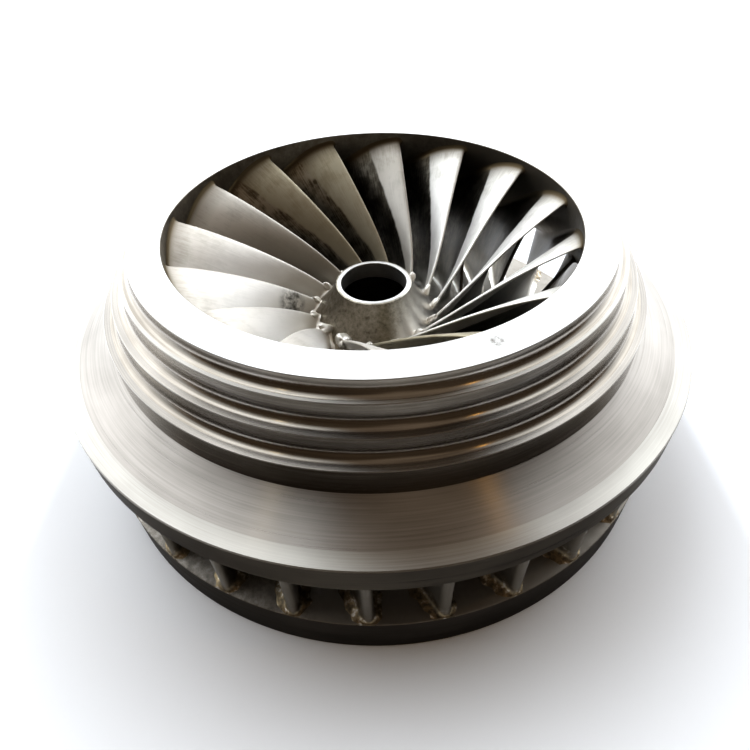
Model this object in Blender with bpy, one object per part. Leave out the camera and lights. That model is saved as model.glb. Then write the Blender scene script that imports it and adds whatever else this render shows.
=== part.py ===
"""Francis turbine runner with long and short blades, lying crown down.

The crown is a heavy disc with a flared hub and a stepped bore. The band is the
ring above it, with three turned seal steps round its outside and a smooth throat
inside. Fifteen long blades run from the inlet gap at the rim up to the throat,
and fifteen short blades stand between them in the outer half of the passage.

Metres, +Z up. The origin is the centre of the face that the crown rests on.
"""

import math

import bmesh
import bpy
import numpy as np

# Driving dimensions, in metres
RIM_RADIUS = 0.500
RIM_LOW_Z = 0.200
RIM_TOP_Z = 0.244
RIM_CHAMFER = 0.0015

THROAT_RADIUS = 0.312
TOP_FACE_Z = 0.394
SEAL_RADII = (0.3595, 0.3765, 0.397, 0.418)
SEAL_LEDGE_Z = (0.374, 0.341, 0.310)
SEAL_FILLET = 0.012
CONE_TOP_Z = 0.269
CONE_FOOT_RADIUS = 0.476

CROWN_RADIUS = 0.489
CROWN_EDGE_Z = 0.0725
CROWN_CHAMFER = 0.002
HUB_RING_Z = 0.2685
HUB_RING_RADIUS = 0.0634
BORE_RADIUS = 0.0548
BORE_STEP_Z = 0.240
LOWER_BORE_RADIUS = 0.070

# Radius and height of the two pull points that bend each flow curve
CROWN_PULLS = ((0.100, 0.170), (0.260, 0.090))
BAND_PULLS = ((THROAT_RADIUS, 0.290), (0.375, 0.206))

BLADE_COUNT = 15
INLET_RADIUS = 0.486
OUTLET_HUB_RADIUS = 0.100
OUTLET_BAND_Z = 0.378
OUTLET_HUB_Z = 0.2125
OUTLET_BOW = 0.016
OUTLET_BAND_ANGLE = math.radians(6.9)
INLET_ANGLE = math.radians(63.4)
OUTLET_SWEEP = (math.radians(12.0), math.radians(21.0))
STRIP_TURN = (math.radians(6.0), math.radians(10.0))
STRIP_LENGTH = 0.03
TURN_EASING = 1.45
OUTLET_THICKNESS = 0.005
BODY_THICKNESS = 0.017
SWELL_POWER = 0.6
NOSE_LENGTH = 0.010
SHORT_BLADE_START = 0.40

JOINT_GAP = 0.0003
ROOT_OVERRUN = 0.12

# How finely the curved shapes are divided
TURN_STEPS = 60
FLOW_CURVE_POINTS = 9
FILLET_POINTS = 3
LONG_STATIONS = 10
SHORT_STATIONS = 7
BLADE_ROWS = 6
CURVE_SAMPLES = 400
SHARP_ANGLE = math.radians(30)

STEEL_FINISHES = {
    "band": ((0.42, 0.40, 0.37), 0.28),
    "crown": ((0.30, 0.29, 0.27), 0.35),
    "long_blade": ((0.55, 0.54, 0.51), 0.32),
    "short_blade": ((0.48, 0.47, 0.44), 0.35),
}


def steel_material(name):
    """Return the machined or ground stainless steel of one kind of piece."""
    colour, roughness = STEEL_FINISHES[name]
    material = bpy.data.materials.new(name + "_steel")
    material.use_nodes = True
    shader = material.node_tree.nodes["Principled BSDF"]
    shader.inputs["Base Color"].default_value = (*colour, 1.0)
    shader.inputs["Metallic"].default_value = 1.0
    shader.inputs["Roughness"].default_value = roughness
    material.diffuse_color = (*colour, 1.0)
    return material


def bezier(start, first, second, end, t):
    """Points of a cubic Bezier curve at the parameters t, one row for each."""
    t = np.asarray(t, dtype=float)[:, None]
    points = (1 - t) ** 3 * np.array(start) + 3 * (1 - t) ** 2 * t * np.array(first)
    return points + 3 * (1 - t) * t ** 2 * np.array(second) + t ** 3 * np.array(end)


def crown_flow_curve(t):
    """Radius and height along the crown's wet surface, from hub ring to rim."""
    start = (HUB_RING_RADIUS, HUB_RING_Z)
    return bezier(start, *CROWN_PULLS, (CROWN_RADIUS, CROWN_EDGE_Z), t)


def band_flow_curve(t):
    """Radius and height along the band's wet surface, from throat edge to rim."""
    start = (THROAT_RADIUS, TOP_FACE_Z)
    return bezier(start, *BAND_PULLS, (RIM_RADIUS - RIM_CHAMFER, RIM_LOW_Z), t)


def shifted_curve(points, distance):
    """Move a radius and height curve sideways, to its left where distance is positive."""
    direction = np.gradient(points, axis=0)
    direction /= np.linalg.norm(direction, axis=1)[:, None]
    sideways = np.stack([-direction[:, 1], direction[:, 0]], axis=1)
    return points + distance * sideways


def turned_solid(name, profile):
    """Spin a closed radius and height outline a full turn about Z."""
    mesh = bpy.data.meshes.new(name)
    work = bmesh.new()
    corners = [work.verts.new((radius, 0.0, height)) for radius, height in profile]
    outline = [work.edges.new((corners[i - 1], corners[i])) for i in range(len(corners))]
    bmesh.ops.spin(work, geom=outline, cent=(0, 0, 0), axis=(0, 0, 1), angle=math.tau,
                   steps=TURN_STEPS, use_merge=True)
    bmesh.ops.recalc_face_normals(work, faces=work.faces)
    work.to_mesh(mesh)
    work.free()
    return add_object(name, mesh)


def add_object(name, mesh):
    """Put a mesh in the scene, shaded smooth with its turned edges kept sharp."""
    solid = bpy.data.objects.new(name, mesh)
    bpy.context.scene.collection.objects.link(solid)
    mesh.shade_smooth()
    mesh.set_sharp_from_angle(angle=SHARP_ANGLE)
    return solid


def inside_corner(corner_radius, corner_z):
    """Concave fillet from a wall above to a ledge outside, as radius and height points."""
    angles = np.linspace(math.pi, 1.5 * math.pi, FILLET_POINTS)
    centre = np.array((corner_radius + SEAL_FILLET, corner_z + SEAL_FILLET))
    return centre + SEAL_FILLET * np.stack([np.cos(angles), np.sin(angles)], axis=1)


def band_profile():
    """Outline of the band: top face, seal steps, cone, flat strip, rim and throat."""
    outline = [(SEAL_RADII[0], TOP_FACE_Z)]
    for wall_radius, ledge_radius, ledge_z in zip(SEAL_RADII, SEAL_RADII[1:], SEAL_LEDGE_Z):
        outline.extend(map(tuple, inside_corner(wall_radius, ledge_z)))
        outline.append((ledge_radius, ledge_z))
    outline.append((SEAL_RADII[-1], CONE_TOP_Z))
    outline.append((CONE_FOOT_RADIUS, RIM_TOP_Z))
    outline.append((RIM_RADIUS - RIM_CHAMFER, RIM_TOP_Z))
    outline.append((RIM_RADIUS, RIM_TOP_Z - RIM_CHAMFER))
    outline.append((RIM_RADIUS, RIM_LOW_Z + RIM_CHAMFER))
    throat = band_flow_curve(np.linspace(1, 0, FLOW_CURVE_POINTS))
    outline.extend(map(tuple, throat))
    return outline


def crown_profile():
    """Outline of the crown: flared flow face, disc edge, back face and stepped bore."""
    outline = [(BORE_RADIUS, HUB_RING_Z)]
    outline.extend(map(tuple, crown_flow_curve(np.linspace(0, 1, FLOW_CURVE_POINTS))))
    outline.append((CROWN_RADIUS, CROWN_CHAMFER))
    outline.append((CROWN_RADIUS - CROWN_CHAMFER, 0.0))
    outline.append((LOWER_BORE_RADIUS + CROWN_CHAMFER, 0.0))
    outline.append((LOWER_BORE_RADIUS, CROWN_CHAMFER))
    outline.append((LOWER_BORE_RADIUS, BORE_STEP_Z))
    outline.append((BORE_RADIUS, BORE_STEP_Z))
    return outline


def passage_cutter():
    """Solid of the water passage, which trims the blades a hair short of crown and band."""
    t = np.linspace(0, 1, FLOW_CURVE_POINTS)
    floor = shifted_curve(crown_flow_curve(t), JOINT_GAP)
    roof = shifted_curve(band_flow_curve(t[::-1]), JOINT_GAP)
    outline = [tuple(point) for point in np.vstack([floor, roof])]
    cutter = turned_solid("passage_cutter", outline)
    cutter.hide_render = True
    cutter.display_type = "WIRE"
    return cutter


def radius_parameter(curve, radius):
    """Parameter at which a flow curve reaches a radius."""
    t = np.linspace(0, 1, CURVE_SAMPLES)
    return float(np.interp(radius, curve(t)[:, 0], t))


def height_parameter(curve, height):
    """Parameter at which a falling flow curve reaches a height."""
    t = np.linspace(0, 1, CURVE_SAMPLES)
    return float(np.interp(-height, -curve(t)[:, 1], t))


def outlet_edge(v):
    """Radius, height and angle along the outlet edge, from hub (v 0) to band (v 1)."""
    radius = OUTLET_HUB_RADIUS + (THROAT_RADIUS - OUTLET_HUB_RADIUS) * v
    height = OUTLET_HUB_Z + (OUTLET_BAND_Z - OUTLET_HUB_Z) * v + 4 * OUTLET_BOW * v * (1 - v)
    inward = 1 - v
    angle = OUTLET_BAND_ANGLE - OUTLET_SWEEP[0] * inward - OUTLET_SWEEP[1] * inward ** 3
    return radius, height, angle


def turned_angle(u, v, outlet_angle):
    """Angle at u: a narrow flat strip turns quickly, then the turn slows towards the inlet."""
    strip_turn = STRIP_TURN[0] + (STRIP_TURN[1] - STRIP_TURN[0]) * v
    along_strip = u * (1 + STRIP_LENGTH) / (u + STRIP_LENGTH)
    along_blade = 1 - (1 - u) ** TURN_EASING
    rest = INLET_ANGLE - outlet_angle - strip_turn
    return outlet_angle + strip_turn * along_strip + rest * along_blade


def camber_point(u, v):
    """Middle surface of a blade: u runs from outlet to inlet, v from hub to band."""
    hub_start = radius_parameter(crown_flow_curve, OUTLET_HUB_RADIUS)
    hub_end = radius_parameter(crown_flow_curve, INLET_RADIUS)
    band_start = height_parameter(band_flow_curve, OUTLET_BAND_Z)
    band_end = radius_parameter(band_flow_curve, INLET_RADIUS)
    hub = crown_flow_curve((hub_start + (hub_end - hub_start) * u).ravel()).reshape(*u.shape, 2)
    band = band_flow_curve((band_start + (band_end - band_start) * u).ravel()).reshape(*u.shape, 2)
    radius, height, angle = outlet_edge(v)
    outlet = np.stack([radius, height], axis=-1)
    straight = corner_blend(crown_flow_curve([hub_start]), band_flow_curve([band_start]), v)
    bow = (outlet - straight) * (1 - u)[..., None] ** 2
    middle = corner_blend(hub, band, v) + bow
    turn = turned_angle(u, v, angle)
    return np.stack([middle[..., 0] * np.cos(turn), middle[..., 0] * np.sin(turn),
                     middle[..., 1]], axis=-1)


def corner_blend(hub, band, v):
    """Straight blend between a point on the hub line and one on the band line."""
    return hub + (band - hub) * v[..., None]


def half_thickness(u, chord, tail):
    """Half the plate thickness: thin at the outlet, thick ahead, round at the nose."""
    swell = np.clip((u - tail) / (1 - tail), 0, 1) ** SWELL_POWER
    body = 0.5 * (OUTLET_THICKNESS + (BODY_THICKNESS - OUTLET_THICKNESS) * swell)
    from_nose = np.clip((1 - u) * chord / NOSE_LENGTH, 0, 1)
    return body * np.sqrt(np.clip(1 - (1 - from_nose) ** 2, 0, 1))


def blade_stations(start, count):
    """Values of u from the tail to the nose, closer together near both ends."""
    spread = 0.5 - 0.5 * np.cos(np.linspace(0, math.pi, count))
    return start + (1 - start) * spread


def blade_mesh(name, start, count):
    """Closed blade: both faces, tail edge, nose line, and ends that overrun the passage."""
    u_line = blade_stations(start, count)
    v_line = np.linspace(0, 1, BLADE_ROWS)
    u, v = np.meshgrid(u_line, v_line, indexing="ij")
    middle = camber_point(u, v)
    along = np.gradient(middle, axis=0)
    across = np.gradient(middle, axis=1)
    normal = np.cross(along, across)
    normal /= np.linalg.norm(normal, axis=-1)[..., None]
    steps = np.linalg.norm(np.diff(middle, axis=0), axis=-1).sum(axis=0)
    chord = steps[None, :] / (1 - start)
    offset = half_thickness(u, chord, start)[..., None] * normal
    upper = extend_rows(middle + offset)
    lower = extend_rows(middle - offset)
    return closed_blade(name, upper, lower)


def extend_rows(points):
    """Move the first and last rows outward, so that the ends reach into crown and band."""
    extended = points.copy()
    extended[:, 0] += (points[:, 0] - points[:, 1]) * ROOT_OVERRUN
    extended[:, -1] += (points[:, -1] - points[:, -2]) * ROOT_OVERRUN
    return extended


def closed_blade(name, upper, lower):
    """Join two faces that meet in the nose line, and close the tail and both ends."""
    stations, rows = upper.shape[:2]
    work = bmesh.new()
    top = [[work.verts.new(point) for point in line] for line in upper]
    bottom = [[work.verts.new(point) for point in line] for line in lower[:-1]]
    bottom.append(top[-1])
    for i in range(stations - 1):
        for j in range(rows - 1):
            work.faces.new((top[i][j], top[i + 1][j], top[i + 1][j + 1], top[i][j + 1]))
            work.faces.new((bottom[i][j + 1], bottom[i + 1][j + 1], bottom[i + 1][j], bottom[i][j]))
        for row in (0, rows - 1):
            corners = [top[i][row], bottom[i][row], bottom[i + 1][row], top[i + 1][row]]
            work.faces.new(list(dict.fromkeys(corners)))
    for j in range(rows - 1):
        work.faces.new((top[0][j], top[0][j + 1], bottom[0][j + 1], bottom[0][j]))
    bmesh.ops.triangulate(work, faces=work.faces)
    bmesh.ops.recalc_face_normals(work, faces=work.faces)
    mesh = bpy.data.meshes.new(name)
    work.to_mesh(mesh)
    work.free()
    return mesh


def trim_to_passage(blade, cutter):
    """Keep only what lies between crown and band."""
    trim = blade.modifiers.new("passage", "BOOLEAN")
    trim.operation = "INTERSECT"
    trim.solver = "EXACT"
    trim.object = cutter


def blade_ring(name, start, count, first_angle, cutter, material):
    """Fifteen equal blades, spaced evenly about the axis."""
    mesh = blade_mesh(name, start, count)
    mesh.materials.append(material)
    for number in range(BLADE_COUNT):
        blade = add_object(f"{name}_{number + 1:02d}", mesh)
        blade.rotation_euler.z = first_angle + number * math.tau / BLADE_COUNT
        trim_to_passage(blade, cutter)


def build():
    """Make the whole runner."""
    for old in list(bpy.data.objects):
        bpy.data.objects.remove(old, do_unlink=True)
    crown = turned_solid("crown", crown_profile())
    crown.data.materials.append(steel_material("crown"))
    band = turned_solid("band", band_profile())
    band.data.materials.append(steel_material("band"))
    cutter = passage_cutter()
    blade_ring("long_blade", 0.0, LONG_STATIONS, 0.0, cutter, steel_material("long_blade"))
    half_pitch = math.pi / BLADE_COUNT
    blade_ring("short_blade", SHORT_BLADE_START, SHORT_STATIONS, half_pitch, cutter,
               steel_material("short_blade"))


build()
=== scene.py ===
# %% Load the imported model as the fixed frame
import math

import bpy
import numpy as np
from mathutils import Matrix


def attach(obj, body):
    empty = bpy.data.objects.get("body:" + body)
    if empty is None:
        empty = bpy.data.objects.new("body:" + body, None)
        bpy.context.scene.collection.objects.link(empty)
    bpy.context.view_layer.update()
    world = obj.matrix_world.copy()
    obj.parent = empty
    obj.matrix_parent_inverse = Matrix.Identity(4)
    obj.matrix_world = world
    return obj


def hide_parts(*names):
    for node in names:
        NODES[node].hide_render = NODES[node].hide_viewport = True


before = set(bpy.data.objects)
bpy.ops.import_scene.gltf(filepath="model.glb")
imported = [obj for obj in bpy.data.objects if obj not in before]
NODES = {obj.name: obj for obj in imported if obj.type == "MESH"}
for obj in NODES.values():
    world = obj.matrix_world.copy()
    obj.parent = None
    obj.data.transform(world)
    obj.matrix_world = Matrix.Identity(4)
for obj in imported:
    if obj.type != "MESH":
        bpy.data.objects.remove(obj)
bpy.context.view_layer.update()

# %% [markdown]
# # Francis turbine runner
# A francis runner is the wheel of a water turbine. Water comes in through the gap round the rim,
# passes between curved blades and leaves through the wide throat on top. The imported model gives
# the exact size of every piece. This lesson dresses it with smooth turned rings, twisted blades
# with weld fillets, and steel finishes made only from nodes.

LONG_BLADES = sorted(name for name in NODES if name.startswith("long_blade"))
SHORT_BLADES = sorted(name for name in NODES if name.startswith("short_blade"))
print("long blades:", len(LONG_BLADES), "short blades:", len(SHORT_BLADES))

# %% [markdown]
# ## Camera
# The photograph looks down on the runner from close by, so near things look much larger than far
# ones. A camera fitted to the turned circles gives its place and its three turns. The matrix is
# built from the direction of view, so no angle has to be guessed by hand.

# %% Camera at the photograph's angle
SENSOR_WIDTH_MM = 36.0
LENS_MM = 26.45
CAMERA_PLACE = np.array((0.0, -0.771, 0.8056))
CAMERA_PITCH = math.radians(44.5)
CAMERA_YAW = math.radians(-0.32)
CAMERA_ROLL = math.radians(-2.35)


def camera_axes(pitch, yaw, roll):
    """Right, up and forward: forward from the two angles, then right and up turned by the roll."""
    forward = np.array((math.sin(yaw) * math.cos(pitch), math.cos(yaw) * math.cos(pitch),
                        -math.sin(pitch)))
    level = np.array((math.cos(yaw), -math.sin(yaw), 0.0))
    upright = np.cross(level, forward)
    right = math.cos(roll) * level + math.sin(roll) * upright
    up = math.cos(roll) * upright - math.sin(roll) * level
    return right, up, forward


def add_camera():
    """Camera whose matrix columns are right, up, backward and place."""
    right, up, forward = camera_axes(CAMERA_PITCH, CAMERA_YAW, CAMERA_ROLL)
    data = bpy.data.cameras.new("camera")
    data.lens = LENS_MM
    data.sensor_width = SENSOR_WIDTH_MM
    data.clip_end = 50.0
    camera = bpy.data.objects.new("camera", data)
    bpy.context.scene.collection.objects.link(camera)
    matrix = np.identity(4)
    matrix[:3] = np.stack([right, up, -forward, CAMERA_PLACE], axis=1)
    camera.matrix_world = Matrix(matrix.tolist())
    bpy.context.scene.camera = camera
    return camera


print("camera:", add_camera().name, "lens", LENS_MM, "mm")

# %% [markdown]
# ## Colours and nodes
# Paint charts and photographs give colours as sRGB hex values, while shaders count in linear
# light. One function turns one into the other. A second small function adds a node with its
# settings and links, which keeps every material readable as a list.


# %% Helpers for colours and nodes
def linear(hex_value):
    """Linear red, green, blue and alpha of an sRGB hex value such as 8c8880."""
    parts = [int(hex_value[i:i + 2], 16) / 255 for i in (0, 2, 4)]
    light = [c / 12.92 if c <= 0.04045 else ((c + 0.055) / 1.055) ** 2.4 for c in parts]
    return (*light, 1.0)


def fill(tree, node, inputs):
    """Give inputs their values, or links to sockets. A node stands for its first output."""
    for key, value in inputs.items():
        if isinstance(value, bpy.types.Node):
            value = value.outputs[0]
        if isinstance(value, bpy.types.NodeSocket):
            tree.links.new(value, node.inputs[key])
        else:
            node.inputs[key].default_value = value


def add_node(tree, kind, inputs=None, **settings):
    """Add a shader node of a kind, set its properties and fill its inputs."""
    node = tree.nodes.new("ShaderNode" + kind)
    for name, value in settings.items():
        setattr(node, name, value)
    fill(tree, node, inputs or {})
    return node


def new_material(name):
    """New material, its node tree and its Principled shader."""
    material = bpy.data.materials.new(name)
    material.use_nodes = True
    return material, material.node_tree, material.node_tree.nodes["Principled BSDF"]


def set_ramp(node, positions, hex_values):
    """Give a colour ramp its colours at positions from 0 to 1, lowest first."""
    ramp = node.color_ramp
    for _ in range(len(positions) - len(ramp.elements)):
        ramp.elements.new(0.5)
    for element, position, hex_value in zip(ramp.elements, positions, hex_values):
        element.position = position
        element.color = linear(hex_value)
    return node


print("mid grey 808080 is", round(linear("808080")[0], 3), "in linear light")

# %% [markdown]
# ## Turned rings
# Crown and band are turned on a lathe: one outline, swept round the axis. The CAD solids use 60
# flat steps. Here the same outline is swept in 360 steps, with round fillets at the foot of each
# seal wall and a small chamfer on each edge, because edges that catch light make metal look real.
# Spinning a curve with the Screw modifier would also work. A numpy grid is chosen because it also
# gives every corner a place along the outline, which the lathe marks follow.

# %% Turned meshes
TURN_STEPS = 360
SHARP_EDGE = math.radians(28)


def bezier(start, first, second, end, t):
    """Cubic curve: the four points weighted by (1-t)^3, 3(1-t)^2 t, 3(1-t)t^2 and t^3."""
    t = np.asarray(t, dtype=float)[..., None]
    early = (1 - t) ** 3 * np.array(start) + 3 * (1 - t) ** 2 * t * np.array(first)
    return early + 3 * (1 - t) * t ** 2 * np.array(second) + t ** 3 * np.array(end)


def turned_mesh(name, outline):
    """Sweep a closed (radius, height) outline round Z: x = r cos a, y = r sin a, z = h.

    The UV map holds the turn from 0 to 1 and the length along the outline in metres.
    """
    outline = np.asarray(outline)
    count = len(outline)
    angle = np.arange(TURN_STEPS) / TURN_STEPS * math.tau
    points = np.stack([outline[None, :, 0] * np.cos(angle)[:, None],
                       outline[None, :, 0] * np.sin(angle)[:, None],
                       np.broadcast_to(outline[None, :, 1], (TURN_STEPS, count))], axis=-1)
    step, place = np.meshgrid(np.arange(TURN_STEPS), np.arange(count), indexing="ij")
    next_step = (step + 1) % TURN_STEPS
    next_place = (place + 1) % count
    faces = np.stack([step * count + place, step * count + next_place,
                      next_step * count + next_place, next_step * count + place], axis=-1)
    run = np.concatenate([[0], np.cumsum(np.linalg.norm(np.diff(
        np.vstack([outline, outline[:1]]), axis=0), axis=1))])
    turns = np.stack([step, step, step + 1, step + 1], axis=-1) / TURN_STEPS
    lengths = np.stack([run[place], run[place + 1], run[place + 1], run[place]], axis=-1)
    mesh = bpy.data.meshes.new(name)
    mesh.from_pydata(points.reshape(-1, 3).tolist(), [], faces.reshape(-1, 4).tolist())
    mesh.validate()
    layer = mesh.uv_layers.new(name="length_map")
    layer.data.foreach_set("uv", np.stack([turns, lengths], axis=-1).astype(np.float32).ravel())
    mesh.shade_smooth()
    mesh.set_sharp_from_angle(angle=SHARP_EDGE)
    mesh.update()
    return mesh


def corner_arc(centre, radius, first, last, count):
    """Points of an arc in the radius and height plane, from one angle in degrees to another."""
    angle = np.radians(np.linspace(first, last, count))
    return np.asarray(centre) + radius * np.stack([np.cos(angle), np.sin(angle)], axis=1)


class Outline:
    """Radius and height points with a zone number for the segment that leaves each point."""

    def __init__(self):
        self.points = []
        self.zones = []

    def add(self, points, zone):
        """Append points, whose outgoing segments all belong to one zone."""
        for point in np.atleast_2d(points):
            self.points.append(tuple(point))
            self.zones.append(zone)


print("turned rings use", TURN_STEPS, "steps")

# %% [markdown]
# ## The band
# The band is the ring that closes the blade passages on the outside. From the top it shows a
# faced ring, three seal steps that run in a fixed labyrinth, a shallow cone, a narrow flat strip
# and the rim. Each wall meets its ledge in a concave fillet left by a round-nosed tool. Every
# zone gets a slot of its own, since a lathe leaves each with another finish.

# %% Band outline, inside the CAD outline
RIM_RADIUS = 0.500
RIM_LOW_Z = 0.200
RIM_TOP_Z = 0.244
RIM_CHAMFER = 0.0015
THROAT_RADIUS = 0.312
TOP_FACE_Z = 0.394
SEAL_RADII = (0.3595, 0.3765, 0.397, 0.418)
SEAL_LEDGE_Z = (0.374, 0.341, 0.310)
SEAL_FILLET = 0.012
SEAL_FILLET_POINTS = 12
CONE_TOP_Z = 0.269
CONE_FOOT_RADIUS = 0.476
EDGE_CHAMFER = 0.0008
THROAT_POINTS = 60
BAND_PULLS = ((THROAT_RADIUS, 0.290), (0.375, 0.206))
# A flow curve leaves its upper end at about 0.3 m for each unit of t, so this t is one chamfer.
CHAMFER_SHARE = EDGE_CHAMFER / 0.3
(TOP_ZONE, WALL_ZONE, LEDGE_ZONE, CONE_ZONE, STRIP_ZONE, RIM_ZONE, THROAT_ZONE,
 LOW_LEDGE_ZONE) = range(8)


def band_flow(t):
    """Radius and height along the band's wet surface, from throat edge (0) to rim (1)."""
    start = (THROAT_RADIUS, TOP_FACE_Z)
    return bezier(start, *BAND_PULLS, (RIM_RADIUS - RIM_CHAMFER, RIM_LOW_Z), t)


def band_outline():
    """Go round the ring's cross-section: top face, seal steps, cone, strip, rim, throat."""
    outline = Outline()
    outline.add((THROAT_RADIUS + EDGE_CHAMFER, TOP_FACE_Z), TOP_ZONE)
    outline.add((SEAL_RADII[0] - EDGE_CHAMFER, TOP_FACE_Z), LEDGE_ZONE)
    for wall, outer, ledge_z in zip(SEAL_RADII, SEAL_RADII[1:], SEAL_LEDGE_Z):
        top_z = outline.points[-1][1]
        outline.add((wall, top_z - EDGE_CHAMFER), WALL_ZONE)
        centre = (wall + SEAL_FILLET, ledge_z + SEAL_FILLET)
        arc = corner_arc(centre, SEAL_FILLET, 180, 270, SEAL_FILLET_POINTS)
        outline.add(arc[:-1], WALL_ZONE)
        outline.add(arc[-1], LEDGE_ZONE if wall == SEAL_RADII[0] else LOW_LEDGE_ZONE)
        outline.add((outer - EDGE_CHAMFER, ledge_z), LEDGE_ZONE)
    outline.add((SEAL_RADII[-1], SEAL_LEDGE_Z[-1] - EDGE_CHAMFER), WALL_ZONE)
    outline.add((SEAL_RADII[-1], CONE_TOP_Z), CONE_ZONE)
    outline.add((CONE_FOOT_RADIUS, RIM_TOP_Z), STRIP_ZONE)
    outline.add((RIM_RADIUS - RIM_CHAMFER, RIM_TOP_Z), STRIP_ZONE)
    outline.add((RIM_RADIUS, RIM_TOP_Z - RIM_CHAMFER), RIM_ZONE)
    outline.add((RIM_RADIUS, RIM_LOW_Z + RIM_CHAMFER), RIM_ZONE)
    outline.add(band_flow(np.linspace(1, CHAMFER_SHARE, THROAT_POINTS)), THROAT_ZONE)
    return outline


BAND = band_outline()
BAND_MESH = turned_mesh("turned_band", BAND.points)
print("band outline points:", len(BAND.points), "faces:", len(BAND_MESH.polygons))

# %% [markdown]
# ## The crown
# The crown is the heavy disc underneath. Its wet face sweeps up into a hub with a narrow faced
# ring and a stepped bore for the shaft. The same turned sweep makes it.

# %% Crown outline
CROWN_RADIUS = 0.489
CROWN_EDGE_Z = 0.0725
CROWN_CHAMFER = 0.002
HUB_RING_Z = 0.2685
HUB_RING_RADIUS = 0.0634
HUB_RING_CHAMFER = 0.0022
BORE_RADIUS = 0.0548
BORE_STEP_Z = 0.240
LOWER_BORE_RADIUS = 0.070
CROWN_PULLS = ((0.100, 0.170), (0.260, 0.090))
HUB_SHARE = 0.6
HUB_POINTS = 50
INLET_POINTS = 30
# The wet face reaches its rim at about 0.5 m for each unit of t.
RIM_SHARE = 1 - EDGE_CHAMFER / 0.5
FLOW_ZONE, HUB_RING_ZONE, SIDE_ZONE, BACK_ZONE, BORE_ZONE, INLET_ZONE = range(6)


def crown_flow(t):
    """Radius and height along the crown's wet surface, from hub ring (0) to rim (1)."""
    start = (HUB_RING_RADIUS, HUB_RING_Z)
    return bezier(start, *CROWN_PULLS, (CROWN_RADIUS, CROWN_EDGE_Z), t)


def crown_outline():
    """Go round the disc's cross-section: hub ring, wet face, side, back face, stepped bore."""
    outline = Outline()
    outline.add((BORE_RADIUS, HUB_RING_Z - EDGE_CHAMFER), HUB_RING_ZONE)
    outline.add((BORE_RADIUS + EDGE_CHAMFER, HUB_RING_Z), HUB_RING_ZONE)
    outline.add((HUB_RING_RADIUS - HUB_RING_CHAMFER, HUB_RING_Z), FLOW_ZONE)
    outline.add(crown_flow(np.linspace(CHAMFER_SHARE, HUB_SHARE, HUB_POINTS)), FLOW_ZONE)
    inlet = crown_flow(np.linspace(HUB_SHARE, RIM_SHARE, INLET_POINTS + 1))
    outline.add(inlet[1:], INLET_ZONE)
    outline.add((CROWN_RADIUS, CROWN_EDGE_Z - EDGE_CHAMFER), SIDE_ZONE)
    outline.add((CROWN_RADIUS, CROWN_CHAMFER), SIDE_ZONE)
    outline.add((CROWN_RADIUS - CROWN_CHAMFER, 0.0), BACK_ZONE)
    outline.add((LOWER_BORE_RADIUS + CROWN_CHAMFER, 0.0), BACK_ZONE)
    outline.add((LOWER_BORE_RADIUS, CROWN_CHAMFER), SIDE_ZONE)
    outline.add((LOWER_BORE_RADIUS, BORE_STEP_Z), BORE_ZONE)
    outline.add((BORE_RADIUS, BORE_STEP_Z), BORE_ZONE)
    return outline


CROWN = crown_outline()
CROWN_MESH = turned_mesh("turned_crown", CROWN.points)
print("crown outline points:", len(CROWN.points), "faces:", len(CROWN_MESH.polygons))

# %% [markdown]
# ## The blade surface
# A runner blade is a twisted plate. Its middle surface is written as a function of two numbers: u
# goes with the water backwards, from the outlet edge (0) to the inlet edge (1), and v goes from
# crown (0) to band (1). Radius and height are blended between the two flow curves, and a third
# function gives the angle. The numbers are those of the CAD part, so each blade lies where its
# solid does.

# %% Middle surface of a blade
BLADE_COUNT = 15
INLET_RADIUS = 0.486
OUTLET_HUB_RADIUS = 0.100
OUTLET_BAND_Z = 0.378
OUTLET_HUB_Z = 0.2125
OUTLET_BOW = 0.016
OUTLET_BAND_ANGLE = math.radians(6.9)
INLET_ANGLE = math.radians(63.4)
OUTLET_SWEEP = (math.radians(12.0), math.radians(21.0))
STRIP_TURN = (math.radians(6.0), math.radians(10.0))
STRIP_LENGTH = 0.03
TURN_EASING = 1.45
SHORT_BLADE_START = 0.40
CURVE_SAMPLES = 400


def curve_parameter(curve, column, value):
    """Parameter at which a flow curve reaches a radius (column 0) or a height (column 1)."""
    t = np.linspace(0, 1, CURVE_SAMPLES)
    reached = curve(t)[:, column]
    sign = 1 if reached[-1] > reached[0] else -1
    return float(np.interp(sign * value, sign * reached, t))


HUB_SPAN = (curve_parameter(crown_flow, 0, OUTLET_HUB_RADIUS),
            curve_parameter(crown_flow, 0, INLET_RADIUS))
BAND_SPAN = (curve_parameter(band_flow, 1, OUTLET_BAND_Z),
             curve_parameter(band_flow, 0, INLET_RADIUS))


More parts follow.
